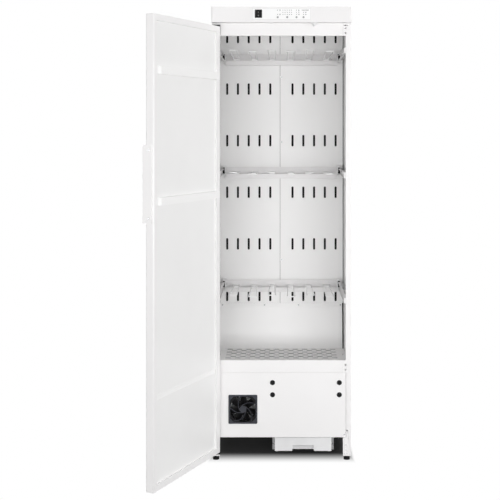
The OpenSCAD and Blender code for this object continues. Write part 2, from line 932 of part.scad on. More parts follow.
module rack_rods(z) {
  color("gainsboro")
    for (i = [0 : rods - 1]) {
      lift = 21 - rod_z - rod_drop * (i % 2);
      translate([(i - (rods - 1) / 2) * rod_pitch, bar_y, z + rod_z]) {
        rod(lift);
        // The clip that holds the rod on the bar
        translate([0, 0, -rod_z]) yz(-rod_base_w / 2, rod_base_w)
          soft_patch(-6, 0, bar_depth - sheet, rod_z + 5, [2, 0, 0, 5]);
      }
    }
}

// The black runner block at each end of a bar, with its toothed edge.
module rack_glider(z) {
  x0 = bar_l / 2;
  g = glider_clear;
  y0 = bar_y + 2;
  y1 = bar_y + bar_depth - 2;
  difference() {
    union() {
      block([x0, y0, z - bar_h + 4], [x0 + 4, y1, z + rail_h + 14]);
      block([x0, y0 - 12, z + sheet + g],
        [rail_out - sheet - g, y1, z + rail_h - sheet - g]);
      block([x0, y0, z + rail_h + g], [rail_out - 2, y1, z + rail_h + 14]);
    }
    for (i = [0 : 3])
      translate([x0 - 1, y0 - 13, z + 4.5 + i * 4.6]) rotate([0, 90, 0])
        cylinder(h = 30, r = 1.5);
  }
}

module rack_gliders(z) {
  color("black") both_sides() rack_glider(z);
}

module rack_bar_lower() { rack_bar(rack_z[0]); }
module rack_rods_lower() { rack_rods(rack_z[0]); }
module rack_gliders_lower() { rack_gliders(rack_z[0]); }
module rack_bar_middle() { rack_bar(rack_z[1]); }
module rack_rods_middle() { rack_rods(rack_z[1]); }
module rack_gliders_middle() { rack_gliders(rack_z[1]); }
module rack_bar_upper() { rack_bar(rack_z[2]); }
module rack_rods_upper() { rack_rods(rack_z[2]); }
module rack_gliders_upper() { rack_gliders(rack_z[2]); }

// ---- Cooling fan ----

// One vane: the left half of a ring that passes the hub, seen from the front.
module vane() {
  cx = -0.23 * vane_r;
  cz = 0.7 * vane_r;
  intersection() {
    translate([cx, cz]) difference() {
      circle(vane_r + vane_t / 2);
      circle(vane_r - vane_t / 2);
    }
    polygon([[-3.6, -20], [cx - 4, 90], [-90, 90], [-90, -20]]);
    circle(0.51 * grille_w);
  }
}

module grille_opening(w) {
  c = 0.29 * w;
  h = w / 2;
  polygon([
    [-h + c / 2, -h], [h - c / 2, -h], [h, -h + c / 2], [h, h - c / 2],
    [h - c / 2, h], [-h + c / 2, h], [-h, h - c / 2], [-h, -h + c / 2]
  ]);
}

module fan_grille() {
  w = grille_w;
  open_w = w - 14;
  color("dimgray") translate([-grille_x, 0, grille_z]) {
    xz(front_y - grille_t, grille_t) difference() {
      round_patch(w, w, 5);
      grille_opening(open_w);
    }
    xz(front_y, sheet) difference() {
      round_patch(w - 8.4, w - 8.4, 5.8);
      grille_opening(open_w);
    }
    xz(front_y - grille_t, grille_t + sheet) {
      for (turn = [0 : 72 : 288])
        rotate(turn) intersection() {
          vane();
          rotate(-turn) square(w - 10, center = true);
        }
      rotate(40) circle(17, $fn = 5);
    }
  }
}

module cooling_fan_housing() {
  w = grille_w - 10;
  rear = fan_y + fan_d;
  bore = axle_r + pin_clear;
  color("black") translate([-grille_x, 0, grille_z]) {
    xz(fan_y, fan_d - 5) difference() {
      round_patch(w, w, 6);
      circle(duct_r);
    }
    xz(rear - 5, 5) difference() {
      round_patch(w, w, 6);
      difference() {
        circle(duct_r);
        for (turn = [45, -45])
          rotate(turn) square([2 * w, 6], center = true);
        circle(fan_hub_r);
      }
      circle(bore);
    }
    xz(rear - 8, 3.5) difference() {
      circle(fan_hub_r - 3);
      circle(bore);
    }
  }
}

module cooling_fan_rotor() {
  front = fan_y + 4;
  depth = fan_d - 13;
  blades = 7;
  color("dimgray") translate([-grille_x, 0, grille_z]) {
    translate([0, front, 0]) rotate([-90, 0, 0]) cylinder(h = depth, r = fan_hub_r - 1);
    translate([0, front, 0]) rotate([-90, 0, 0])
      cylinder(h = fan_y + fan_d - 3 - front, r = axle_r);
    intersection() {
      translate([0, front + 1, 0]) rotate([-90, 0, 0])
        cylinder(h = depth - 2, r = blade_r);
      for (i = [0 : blades - 1])
        rotate([0, i * 360 / blades, 0]) translate([0, front + depth / 2, fan_hub_r - 3])
          rotate([0, 0, 38]) linear_extrude(blade_r)
            translate([0, -30]) intersection() {
              difference() {
                circle(31.2, $fn = 96);
                circle(29.6, $fn = 96);
              }
              translate([0, 30]) square([32, 20], center = true);
            }
    }
  }
}

// ---- Machine compartment ----

module machine_base() {
  t = 1.5;
  leg = 30;
  y1 = back_y - sheet;
  color("darkgray") difference() {
    union() {
      block([-inner_w, flange_y, leg_z], [inner_w, y1, base_z]);
      both_sides()
        block([inner_w - t, flange_y + fold, leg_z], [inner_w, y1 - fold, base_z + 12]);
      for (sx = [-1, 1], sy = [-1, 1])
        foot_socket(sx, sy, leg);
    }
    translate([spout_x, spout_y, leg_z - 1]) cylinder(h = 4, r = spout_r + joint_gap);
    for (sx = [-1, 1], sy = [-1, 1])
      translate([sx * foot_x, sy * foot_y, foot_h]) cylinder(h = 8, r = stud_r + pin_clear);
  }
}

// A folded corner post with a threaded plate for the foot.
module foot_socket(sx, sy, leg) {
  x = sx * foot_x;
  y = sy * foot_y;
  difference() {
    block([x - leg / 2, y - leg / 2, foot_h + 1], [x + leg / 2, y + leg / 2, leg_z + 0.5]);
    block([x - leg / 2 + 2, y - leg / 2 + 2, nut_z],
      [x + leg / 2 - 2, y + leg / 2 - 2, leg_z]);
    block([x - leg / 2 - (sx > 0 ? 1 : -4), y - leg / 2 + 4, nut_z],
      [x + leg / 2 + (sx > 0 ? -4 : 1), y + leg / 2 - 4, leg_z - 2]);
  }
}

module foot(sx, sy) {
  r = foot_d / 2;
  color("black") translate([sx * foot_x, sy * foot_y, 0]) {
    cylinder(h = 10, r = r);
    translate([0, 0, 10]) cylinder(h = 2.5, r1 = r, r2 = r - 3);
    translate([0, 0, 12.5]) cylinder(h = 4.5, r = stud_r + 3.5, $fn = 6);
    cylinder(h = 60, r = stud_r);
  }
}

module foot_front_left() { foot(-1, -1); }
module foot_front_right() { foot(1, -1); }
module foot_rear_left() { foot(-1, 1); }
module foot_rear_right() { foot(1, 1); }

// A finned coil between two tube plates, with its tubes and their bends.
module finned_coil(y, rows) {
  d = 46;
  fins = 18;
  r = 4;
  tubes = 6;
  step = (coil_z1 - coil_z0) / tubes;
  span = coil_x1 - coil_x0;
  for (i = [0 : fins - 1])
    yz(coil_x0 + i * (span - 1) / (fins - 1), i == 0 || i == fins - 1 ? 1.5 : 0.6)
      patch(y, coil_z0, y + d, coil_z1);
  for (row = [0 : rows - 1]) {
    ty = y + d * (row + 0.5) / rows;
    for (i = [0 : tubes - 1])
      translate([coil_x0 - 8, ty, coil_z0 + (i + 0.5) * step]) rotate([0, 90, 0])
        cylinder(h = span + 16, r = r);
    for (i = [0 : tubes - 2])
      translate([i % 2 == 0 ? coil_x0 - 8 : coil_x1 + 8, ty, coil_z0 + (i + 1) * step])
        rotate([90, 0, 0]) rotate([0, 0, i % 2 == 0 ? 90 : -90])
          rotate_extrude(angle = 180) translate([step / 2, 0]) circle(r);
  }
}

module coil_feet(y) {
  for (x = [coil_x0 + 20, coil_x1 - 30])
    block([x, y + 8, base_z + 12], [x + 10, y + 38, coil_z0 + 1]);
}

module evaporator() {
  color("silver") {
    finned_coil(evaporator_y, 1);
    coil_feet(evaporator_y);
  }
}

module condenser() {
  color("silver") {
    finned_coil(condenser_y, 1);
    for (x = [coil_x0 + 20, coil_x1 - 30])
      block([x, condenser_y + 8, base_z], [x + 10, condenser_y + 38, coil_z0 + 1]);
  }
}

module drain_tray() {
  x0 = coil_x0 - 10;
  x1 = spout_x + 16;
  y0 = evaporator_y - 6;
  y1 = evaporator_y + 56;
  t = 1.5;
  color("lightgray") difference() {
    union() {
      block([x0, y0, base_z], [x1, y1, base_z + 12]);
      translate([spout_x, spout_y, leg_z - 1]) cylinder(h = 4, r = spout_r);
    }
    difference() {
      block([x0 + t, y0 + t, base_z + t], [x1 - t, y1 - t, base_z + 13]);
      for (x = [coil_x0 + 20, coil_x1 - 30])
        block([x - 1, evaporator_y + 7, base_z], [x + 11, evaporator_y + 39, base_z + 12]);
    }
    translate([spout_x, spout_y, leg_z - 2]) cylinder(h = 10, r = spout_r - 2);
  }
}

module compressor() {
  r = compressor_r;
  z0 = base_z + 12;
  h = 120;
  dome = 60;
  color("black") translate([compressor_x, compressor_y, 0]) {
    translate([0, 0, z0 + 20]) cylinder(h = h, r = r);
    translate([0, 0, z0 + 20 + h]) intersection() {
      translate([0, 0, -dome]) sphere(r = sqrt(r * r + dome * dome));
      cylinder(h = dome, r = r);
    }
    translate([0, 0, z0 + 20 + h / 2 - 4]) cylinder(h = 8, r = r + 4);
    intersection() {
      translate([0, 0, z0 + 20 + dome]) sphere(r = sqrt(r * r + dome * dome));
      translate([0, 0, z0]) cylinder(h = 20.5, r = r);
    }
    for (turn = [45 : 90 : 315])
      rotate(turn) {
        translate([r - 34, -14, z0 + 4]) cube([46, 28, 5]);
        translate([r + 2, 0, base_z]) cylinder(h = 13 + 4, r = 9);
      }
    translate([-20, -r - 14, z0 + 70]) cube([40, 20, 44]);
  }
}

module circulation_fan_housing() {
  t = 1.5;
  out_w = 80;
  color("gray") translate([wheel_x, wheel_y, 0]) difference() {
    union() {
      translate([0, 0, scroll_z0]) cylinder(h = scroll_h, r = scroll_r);
      block([scroll_r - out_w, 0, scroll_z0],
        [scroll_r, back_y - sheet - wheel_y, scroll_z0 + scroll_h]);
      translate([0, 0, base_z]) cylinder(h = scroll_z0 - base_z + 1, r = 38);
    }
    translate([0, 0, scroll_z0 + t]) cylinder(h = scroll_h - 2 * t, r = scroll_r - t);
    block([scroll_r - out_w + t, 0, scroll_z0 + t],
      [scroll_r - t, back_y - wheel_y, scroll_z0 + scroll_h - t]);
    block([scroll_r - out_w + t, lower_wall_y - wheel_y + 4, scroll_z0 + scroll_h - 5],
      [scroll_r - t, back_y - wheel_y, scroll_z0 + scroll_h + 1]);
    translate([0, 0, scroll_z0 + scroll_h - 5]) cylinder(h = 10, r = wheel_r - 20);
    translate([0, 0, base_z + 20]) cylinder(h = scroll_h, r = 5 + pin_clear);
  }
}

module circulation_fan_wheel() {
  blades = 18;
  r = wheel_r;
  color("dimgray") translate([wheel_x, wheel_y, wheel_z]) {
    cylinder(h = 2, r = r);
    translate([0, 0, wheel_h - 3]) difference() {
      cylinder(h = 3, r = r);
      translate([0, 0, -1]) cylinder(h = 5, r = r - 16);
    }
    for (i = [0 : blades - 1])
      rotate(i * 360 / blades) translate([r - 8, 0, 1]) linear_extrude(wheel_h - 3)
        intersection() {
          translate([0, 12]) difference() {
            circle(12.8);
            circle(11.4);
          }
          patch(-7, -1, 7, 6);
        }
    difference() {
      cylinder(h = 24, r = 14);
      translate([0, 0, 23]) cylinder(h = 2, r = 6);
    }
    translate([0, 0, base_z + 30 - wheel_z]) cylinder(h = wheel_z - base_z - 29, r = 5);
  }
}

// A pipe of radius r along square turns between points, each turn a quarter bend.
module pipe(points, r) {
  last = len(points) - 1;
  bend = 3 * r;
  way = [for (i = [0 : last - 1]) (points[i + 1] - points[i]) / norm(points[i + 1] - points[i])];
  for (i = [0 : last - 1])
    run_between(points[i] + (i > 0 ? bend : 0) * way[i],
      points[i + 1] - (i < last - 1 ? bend : 0) * way[i], r);
  for (i = [1 : last - 1])
    quarter_bend(points[i], way[i - 1], way[i], bend, r);
}

module run_between(a, b, r) {
  d = b - a;
  l = norm(d);
  translate(a) rotate([0, acos(d[2] / l), atan2(d[1], d[0])]) cylinder(h = l, r = r);
}

// A bend from direction a to direction b round the corner point.
module quarter_bend(corner, a, b, bend, r) {
  centre = corner + bend * (b - a);
  side = cross(a, b);
  multmatrix([
    [-b[0], a[0], side[0], centre[0]],
    [-b[1], a[1], side[1], centre[1]],
    [-b[2], a[2], side[2], centre[2]]
  ]) rotate_extrude(angle = 90) translate([bend, 0]) circle(r);
}

module refrigerant_pipes() {
  r = 4;
  step = (coil_z1 - coil_z0) / 6;
  low = coil_z0 + step / 2;
  high = coil_z1 - step / 2;
  ey = evaporator_y + 23;
  cy = condenser_y + 23;
  top_z = base_z + 152;
  gas_z = top_z - 85;
  suction_z = top_z - 25;
  port_x = compressor_x - compressor_r - joint_gap;
  link_x = coil_x1 + 30;
  color("peru") {
    // Hot gas from the compressor to the condenser
    pipe([
      [port_x, compressor_y, gas_z], [20, compressor_y, gas_z],
      [20, compressor_y, low], [20, cy, low], [coil_x1 + 8, cy, low]
    ], r);
    // Liquid from the condenser to the evaporator
    pipe([
      [coil_x1 + 8, cy, high], [link_x, cy, high], [link_x, ey, high],
      [coil_x1 + 8, ey, high]
    ], r);
    // Cold gas back to the compressor
    pipe([
      [coil_x1 + 8, ey, low], [45, ey, low], [45, ey, suction_z],
      [45, compressor_y, suction_z], [port_x, compressor_y, suction_z]
    ], r);
  }
}

module cable_gland() {
  color("black") translate([gland_x, back_y, gland_z]) rotate([-90, 0, 0])
    difference() {
      union() {
        cylinder(h = 4, r = gland_r + 5, $fn = 6);
        translate([0, 0, 4]) cylinder(h = 9, r1 = gland_r + 2, r2 = gland_r);
        translate([0, 0, -10]) cylinder(h = 10.1, r = gland_r - pin_clear);
      }
      translate([0, 0, -11]) cylinder(h = 30, r = gland_r / 2);
    }
}

// ---- Water container ----

module grip_shape(w) {
  polygon([
    [-w - 3, tank_z0 - 1], [-w, tank_z0 + 9.4], [w, tank_z0 + 9.4], [w + 3, tank_z0 - 1]
  ]);
}

// An open trough: the drain spout drips into it from above.
module water_container() {
  w = tank_w / 2;
  z0 = tank_z0;
  z1 = tank_z0 + tank_h;
  y0 = tank_y0;
  y1 = tank_y0 + tank_d;
  t = tank_wall;
  grip_w = 45;
  wall_w = grip_w + t + 2.5;
  color("ghostwhite") translate([tank_x, 0, 0]) difference() {
    union() {
      block([-w, y0, z0], [w, y1, z1]);
      // The rib that hangs in the runner on each side
      both_sides()
        block([w - 1, y0 + 12, rib_z + joint_gap], [w + 6, y1 - 12, rib_z + 4.7]);
    }
    difference() {
      block([-w + t, y0 + t, z0 + t], [w - t, y1 - t, z1 + 1]);
      block([-wall_w, y0, z0], [wall_w, y0 + 30 + t, z0 + 9.4 + t]);
      block([-wall_w, y0, z0], [wall_w, y0 + 4 + t, z0 + 25 + t]);
    }
    xz(y0 - 1, 31) grip_shape(grip_w);
    xz(y0 - 1, 5) patch(-grip_w, z0 + 9, grip_w, z0 + 25);
  }
}

module container_runners() {
  x = tank_w / 2 + joint_gap;
  y0 = tank_y0 + 2;
  y1 = tank_y0 + tank_d;
  color("silver") translate([tank_x, 0, 0]) both_sides() difference() {
    block([x, y0, runner_z0], [x + runner_w, y1, leg_z]);
    block([x - 1, y0 - 1, rib_z], [x + 7, y1 - 12 + joint_gap, rib_z + 5.5]);
    block([x + 2, y0 + 12, rib_z + 8], [x + runner_w + 1, y1 - 12, leg_z - 5]);
  }
}

// ---- Drawing ----

side_panel_left();
side_panel_right();
back_panel();
top_panel();
front_lintel();
top_cap();
control_panel();
control_board();
switch_housings();
slotted_wall_left();
slotted_wall_right();
lower_back_panel();
chamber_ceiling();
perforated_floor();
front_lip();
service_panel();
panel_plugs();
fan_grille();
cooling_fan_housing();
machine_base();
compressor();
evaporator();
condenser();
circulation_fan_housing();
refrigerant_pipes();
drain_tray();
container_runners();
rack_rails();
hinge_brackets();
fixing_screws();
cable_gland();
door_skin();
door_inner_panels();
door_stiffeners();
hinge_bushes();
door_handle();
handle_screws();
door_magnets();
rack_bar_lower();
rack_rods_lower();
rack_gliders_lower();
rack_bar_middle();
rack_rods_middle();
rack_gliders_middle();
rack_bar_upper();
rack_rods_upper();
rack_gliders_upper();
water_container();
rocker_switch();
button_1();
button_2();
button_3();
button_4();
door_switch_plunger();
cooling_fan_rotor();
circulation_fan_wheel();
foot_front_left();
foot_front_right();
foot_rear_left();
foot_rear_right();
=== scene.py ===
"""Looks of a free-standing drying cabinet: painted sheet steel, moulded plastic, print, studio."""

import math

import bmesh
import bpy
from bpy.props import FloatProperty, FloatVectorProperty, PointerProperty
from mathutils import Matrix, Vector


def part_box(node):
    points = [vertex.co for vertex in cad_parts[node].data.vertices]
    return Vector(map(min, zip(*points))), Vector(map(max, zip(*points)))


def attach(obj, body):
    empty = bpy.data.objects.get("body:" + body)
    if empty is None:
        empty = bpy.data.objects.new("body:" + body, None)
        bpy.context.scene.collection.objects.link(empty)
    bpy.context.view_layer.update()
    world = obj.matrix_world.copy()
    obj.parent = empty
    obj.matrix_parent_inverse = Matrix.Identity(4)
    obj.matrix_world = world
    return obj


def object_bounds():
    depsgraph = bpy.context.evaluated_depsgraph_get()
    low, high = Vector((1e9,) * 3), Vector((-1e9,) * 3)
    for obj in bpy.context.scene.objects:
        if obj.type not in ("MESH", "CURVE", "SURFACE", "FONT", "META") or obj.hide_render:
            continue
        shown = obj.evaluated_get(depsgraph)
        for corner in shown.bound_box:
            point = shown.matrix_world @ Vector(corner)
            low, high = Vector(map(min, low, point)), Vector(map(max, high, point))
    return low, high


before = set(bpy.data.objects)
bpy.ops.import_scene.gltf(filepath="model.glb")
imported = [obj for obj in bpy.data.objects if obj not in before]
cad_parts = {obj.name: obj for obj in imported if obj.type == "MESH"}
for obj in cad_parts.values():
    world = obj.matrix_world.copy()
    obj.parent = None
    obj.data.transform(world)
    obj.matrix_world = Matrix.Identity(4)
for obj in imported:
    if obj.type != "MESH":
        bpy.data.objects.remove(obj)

bl_info = {
    "name": "Drying Cabinet Looks",
    "version": (1, 0, 0),
    "blender": (4, 5, 0),
    "location": "View3D > Sidebar > Cabinet",
    "description": "Finishes, printed marks and small fittings of a drying cabinet",
    "category": "Object",
}

MM = 0.001
PHOTO_WIDTH = 500
CAD_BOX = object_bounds()

# Points of a mesh that are nearer than this are one
SAME_POINT = 0.001 * MM

# Places on the CAD that its boxes don't give: the floor sheet's upper face, the door's swing
# and hinge, the seat for a pin in its free upper corner, and the rocker's axis and rest tilt
FLOOR_TOP = 378 * MM
DOOR_OPEN = math.radians(112)
DOOR_HINGE = Vector((-281.5, -318.5, 0)) * MM
FREE_PIN_SEAT = Vector((281.5, -318.5, 1856)) * MM
ROCKER_AXIS_Y = -333 * MM
ROCKER_AXIS_Z = 1908 * MM
ROCKER_REST = math.radians(7)

LEVELS = ("lower", "middle", "upper")
BUTTONS = ("button_1", "button_2", "button_3", "button_4")
FEET = ("foot_front_left", "foot_front_right", "foot_rear_left", "foot_rear_right")

# Name, place, width and height in metres, and power as a share of the key light's setting
LAMPS = (
    ("key", (0.3, -7.0, 0.85), (6.4, 1.5), 2.5),
    ("fill", (4.0, -1.8, 1.4), (2.2, 2.2), 1.1),
    ("side", (-3.4, -3.4, 1.4), (2.2, 2.2), 0.45),
    ("top", (0.2, -1.4, 4.1), (2.2, 2.2), 0.1),
    ("rear", (-1.2, 3.8, 4.0), (3.0, 3.0), 2.0),
)


# ---- Shader maths ----

class Wire:
    """An output socket to reckon with: an expression on wires adds its Math nodes."""

    def __init__(self, nodes, socket):
        self.nodes = nodes
        self.socket = socket

    def math(self, operation, *values):
        return self.nodes.math(operation, *values)

    def __add__(self, other):
        return self.math("ADD", self, other)

    __radd__ = __add__

    def __sub__(self, other):
        return self.math("SUBTRACT", self, other)

    def __rsub__(self, other):
        return self.math("SUBTRACT", other, self)

    def __mul__(self, other):
        return self.math("MULTIPLY", self, other)

    __rmul__ = __mul__

    def __abs__(self):
        return self.math("ABSOLUTE", self)

    def at_least(self, other):
        return self.math("MAXIMUM", self, other)

    def step(self, low, high):
        """0 up to low, 1 from high on, smooth in between."""
        return self.nodes.add("ShaderNodeMapRange", {"interpolation_type": "SMOOTHSTEP"},
                              {"Value": self, "From Min": low, "From Max": high})


class Nodes:
    """A node tree with one method that adds any node."""

    def __init__(self, tree):
        self.tree = tree

    def add(self, kind, settings=None, sockets=None, output=0):
        """Adds a node: its settings first, then the values or wires of its sockets."""
        node = self.tree.nodes.new(kind)
        for name, value in (settings or {}).items():
            setattr(node, name, value)
        for name, value in (sockets or {}).items():
            self.feed(node.inputs[name], value)
        return Wire(self, node.outputs[output])

    def feed(self, socket, value):
        if isinstance(value, Wire):
            self.tree.links.new(value.socket, socket)
        else:
            socket.default_value = value

    def math(self, operation, *values):
        return self.add("ShaderNodeMath", {"operation": operation}, dict(enumerate(values)))

    def mix(self, factor, first, second):
        """The first colour where factor is 0, the second where it is 1."""
        return self.add("ShaderNodeMix", {"data_type": "RGBA"}, {0: factor, 6: first, 7: second}, 2)


class Finish(Nodes):
    """A surface finish in the making, patterned in the cabinet's own metres."""

    def __init__(self, name):
        self.material = bpy.data.materials.new(name)
        self.material.use_nodes = True
        super().__init__(self.material.node_tree)
        self.surface = self.tree.nodes["Principled BSDF"]
        self.place = self.add("ShaderNodeTexCoord", output="Object")

    def stretched(self, x, y, z):
        return self.add("ShaderNodeMapping", None, {"Vector": self.place, "Scale": (x, y, z)})

    def noise(self, size, detail=2.0, place=None):
        """Clouds whose blobs are about size metres across, from 0 to 1."""
        return self.add("ShaderNodeTexNoise", None,
                        {"Vector": place or self.place, "Scale": 1 / size, "Detail": detail})

    def cells(self, size):
        """Flat grains about size metres across, each with its own colour."""
        sockets = {"Vector": self.place, "Scale": 1 / size}
        return self.add("ShaderNodeTexVoronoi", None, sockets, "Color")

    def along(self, axis):
        """How far a point lies along X, Y or Z, in metres."""
        return self.add("ShaderNodeSeparateXYZ", None, {0: self.place}, axis)

    def close(self, colour, roughness, height=None, depth=0.0, fixed=None):
        """Feeds the surface and gives the finished material."""
        sockets = self.surface.inputs
        self.feed(sockets["Base Color"], colour)
        self.feed(sockets["Roughness"], roughness)
        for name, value in (fixed or {}).items():
            sockets[name].default_value = value
        if height is not None:
            bump = self.add("ShaderNodeBump", None,
                            {"Height": height, "Distance": depth, "Strength": 1.0})
            self.feed(sockets["Normal"], bump)
        return self.material


def rgba(colour, scale=1.0):
    return (*(channel * scale for channel in colour), 1.0)


def vectors(box):
    """A box's low and high corner as vectors."""
    low, high = box
    return Vector(low), Vector(high)


# ---- Finishes ----

class Coat(Finish):
    """Smooth powder coat in the making: faint clouds of tone and a fine orange peel."""

    PEEL_SIZE = 3.5 * MM

    def __init__(self, name, colour, look, cloud_size=340 * MM):
        super().__init__(name)
        self.look = look
        self.pale = rgba(colour)
        self.dim = rgba(colour, 1 - look.tone_drift)
        self.clouds = self.noise(cloud_size, detail=3.0)

    def drifting(self, pale):
        """A pale tone that the clouds dim a little."""
        return self.mix(self.clouds.step(0.35, 0.7), pale, self.dim)

    def cured(self, tone, shadow=None, fixed=None):
        """Gives the finished coat, duller where shadow is 1."""
        dull = 0.08 * (self.noise(50 * MM) - 0.5) if shadow is None else 0.3 * shadow
        peel = self.noise(self.PEEL_SIZE, detail=3.0)
        return self.close(tone, self.look.coat_roughness + dull, peel, self.look.peel_depth, fixed)


def powder_coat(name, colour, look):
    """White powder coat on plain sheet."""
    coat = Coat(name, colour, look)
    return coat.cured(coat.drifting(coat.pale), fixed={"Coat Weight": 0.05, "Coat Roughness": 0.3})


def back_sheet_with_painted_shade(name, colour, look):
    """The back panel: powder coat outside, and painted shade on its inner side, so that the slots
    show dark.
    """
    coat = Coat(name, colour, look, cloud_size=300 * MM)
    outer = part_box("back_panel")[1][1]
    # Painted shade: the inner side is painted near-black behind the slots
    inner = 1 - coat.along("Y").step(outer - 0.6 * MM, outer - 0.4 * MM)
    tone = coat.mix(coat.clouds, coat.pale, coat.dim)
    return coat.cured(coat.mix(inner, tone, rgba(look.black_colour, 1.2)), inner)


def seamed_coat(name, colour, look, seam):
    """The chamber walls' coat, with the shadow that gathers in the seam between them."""
    coat = Coat(name, colour, look)
    line = 1 - abs(coat.along("X") - seam).step(0.8 * MM, 3.0 * MM)
    tone = coat.mix(line, coat.pale, rgba(colour, 0.7))
    return coat.cured(coat.mix(line, coat.drifting(tone), tone))


def punched_coat(name, colour, look, top):
    """The perforated floor's coat: the walls of its slots lie in shadow."""
    coat = Coat(name, colour, look)
    wall = 1 - coat.along("Z").step(top - 0.3 * MM, top - 0.1 * MM)
    tone = coat.mix(coat.clouds, coat.pale, coat.dim)
    return coat.cured(coat.mix(wall, tone, rgba(colour, 0.12)), wall)


GRAIN_SIZE = 0.9 * MM
GRAIN_DEPTH = 0.06 * MM
MATT = {"Specular IOR Level": 0.1}


def moulded_plastic(name, colour, roughness):
    """Moulded plastic with a fine sparked grain and slightly polished high spots."""
    plastic = Finish(name)
    grains = plastic.noise(GRAIN_SIZE)
    tone = plastic.mix(grains.step(0.3, 0.8), rgba(colour, 0.86), rgba(colour, 1.1))
    roughness = roughness + 0.14 * (plastic.noise(12 * MM) - 0.5)
    return plastic.close(tone, roughness, grains, GRAIN_DEPTH, MATT)


def two_shot_plastic(name, black, white, mask):
    """Black moulding with a white part, told apart by a mask that is 1 where it is black."""
    plastic = Finish(name)
    grains = plastic.noise(GRAIN_SIZE)
    dark = mask(plastic)
    tone = plastic.mix(dark, plastic.mix(grains, rgba(white, 0.93), rgba(white)),
                       plastic.mix(grains, rgba(black, 0.86), rgba(black, 1.1)))
    return plastic.close(tone, 0.5, grains, GRAIN_DEPTH, MATT)


def glider_teeth(top):
    """Where a rack's glider is black: a toothed strip next to its rail."""
    middle, half_height = top - 24 * MM, 16 * MM
    tooth_depth = 3.5 * MM
    strip_edge, blur = 265.6 * MM, 0.6 * MM

    def mask(plastic):
        z = plastic.along("Z") - middle
        teeth = plastic.math("PINGPONG", z, tooth_depth)
        strip = (abs(plastic.along("X")) - teeth).step(strip_edge, strip_edge + blur)
        return strip * (1 - abs(z).step(half_height - 0.5 * MM, half_height))
    return mask


def zinc_sheet(name, colour):
    """Hot-dip zinc with its flowers of crystal."""
    zinc = Finish(name)
    flowers = zinc.cells(11 * MM)
    light = zinc.add("ShaderNodeSeparateColor", None, {0: flowers})
    tone = zinc.mix(light, rgba(colour, 0.8), rgba(colour, 1.08))
    roughness = 0.34 + 0.2 * light
    return zinc.close(tone, roughness, zinc.noise(2 * MM), 0.03 * MM, {"Metallic": 0.9})


def bright_screw(name, colour):
    """Zinc-plated screws with patches of grime."""
    screw = Finish(name)
    grime = screw.noise(1.6 * MM, detail=4.0)
    tone = screw.mix(grime.step(0.45, 0.75), rgba(colour), rgba(colour, 0.6))
    return screw.close(tone, 0.28 + 0.25 * grime, grime, 0.03 * MM, {"Metallic": 0.95})


def copper_tube(name, colour):
    """Drawn copper that has darkened in patches."""
    copper = Finish(name)
    patches = copper.noise(20 * MM, detail=5.0)
    tarnish = rgba((0.34, 0.16, 0.09))
    tone = copper.mix(patches.step(0.42, 0.68), rgba(colour), tarnish)
    roughness = 0.25 + 0.3 * patches
    return copper.close(tone, roughness, copper.noise(MM), 0.02 * MM, {"Metallic": 1.0})


def rolled_fins(name, colour):
    """Thin rolled aluminium with fine lines along the rolling."""
    fins = Finish(name)
    lines = fins.noise(2 * MM, 4.0, fins.stretched(1, 1, 0.06))
    tone = fins.mix(lines, rgba(colour, 0.82), rgba(colour, 1.04))
    return fins.close(tone, 0.3 + 0.2 * lines, lines, 0.04 * MM, {"Metallic": 0.95})


def enamelled_shell(name, colour):
    """Thick black enamel on the compressor, with runs and dust."""
    shell = Finish(name)
    runs = shell.noise(20 * MM, 3.0, shell.stretched(1, 1, 0.25))
    dust = shell.noise(4 * MM, detail=5.0)
    dusty = rgba((0.12, 0.12, 0.115))
    tone = shell.mix(dust.step(0.55, 0.85), rgba(colour), dusty)
    return shell.close(tone, 0.26 + 0.3 * dust, runs, 0.4 * MM)


def circuit_board(name, colour):
    """Green solder mask with the paler lines of its copper tracks."""
    board = Finish(name)
    track_tone = rgba((0.16, 0.42, 0.24))
    bands = board.noise(12 * MM, 0.0, board.stretched(1, 1, 2.4))
    tracks = abs(bands - 0.5).step(0.012, 0.02)
    tone = board.mix(tracks, track_tone, rgba(colour))
    return board.close(tone, 0.3, 1 - tracks, 0.03 * MM)


def milky_tank(name, colour):
    """Thin milky polypropylene: cloudy, with faint flow lines and painted shade in its finger
    recess.
    """
    tank = Finish(name)
    cloud = tank.noise(50 * MM, detail=3.0)
    flow = tank.noise(20 * MM, 3.0, tank.stretched(0.3, 1, 1))
    low, high = vectors(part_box("water_container"))
    half_width, floor, depth = 45 * MM, 12 * MM, 6 * MM
    across = 1 - abs(tank.along("X") - (low.x + high.x) / 2).step(half_width - MM, half_width)
    within = 1 - tank.along("Y").step(low.y + depth - 0.5 * MM, low.y + depth)
    above = tank.along("Z").step(low.z + floor, low.z + floor + 0.5 * MM)
    behind = tank.along("Y").step(low.y + 3 * MM, low.y + 4 * MM)
    tone = tank.mix(cloud.step(0.3, 0.75), rgba(colour), rgba(colour, 0.94))
    # Painted shade: the finger recess is painted darker
    shaded = tank.mix(across * within * above * behind, tone, rgba(colour, 0.74))
    return tank.close(shaded, 0.32 + 0.12 * flow, flow, 0.3 * MM)


def panel_film(name, colour, look):
    """The control panel's satin film with a faint printed border."""
    film = Finish(name)
    low, high = vectors(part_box("control_panel"))
    middle = (low + high) / 2
    half = (high - low) / 2
    side = abs(film.along("X") - middle.x) - half.x
    top = abs(film.along("Z") - middle.z) - half.z
    edge = side.at_least(top)
    border = edge.step(-4.6 * MM, -4.2 * MM) * (1 - edge.step(-1.2 * MM, -0.8 * MM))
    tone = film.mix(border, rgba(colour), rgba(look.casing_colour, 0.88))
    return film.close(tone, 0.34, film.noise(1.2 * MM), 0.01 * MM)


def printed_ink(name, colour):
    """Screen-printed ink, very slightly uneven."""
    ink = Finish(name)
    spots = ink.noise(0.8 * MM, detail=3.0)
    tone = ink.mix(spots, rgba(colour, 0.9), rgba(colour, 1.1))
    return ink.close(tone, 0.45, spots, 0.01 * MM)


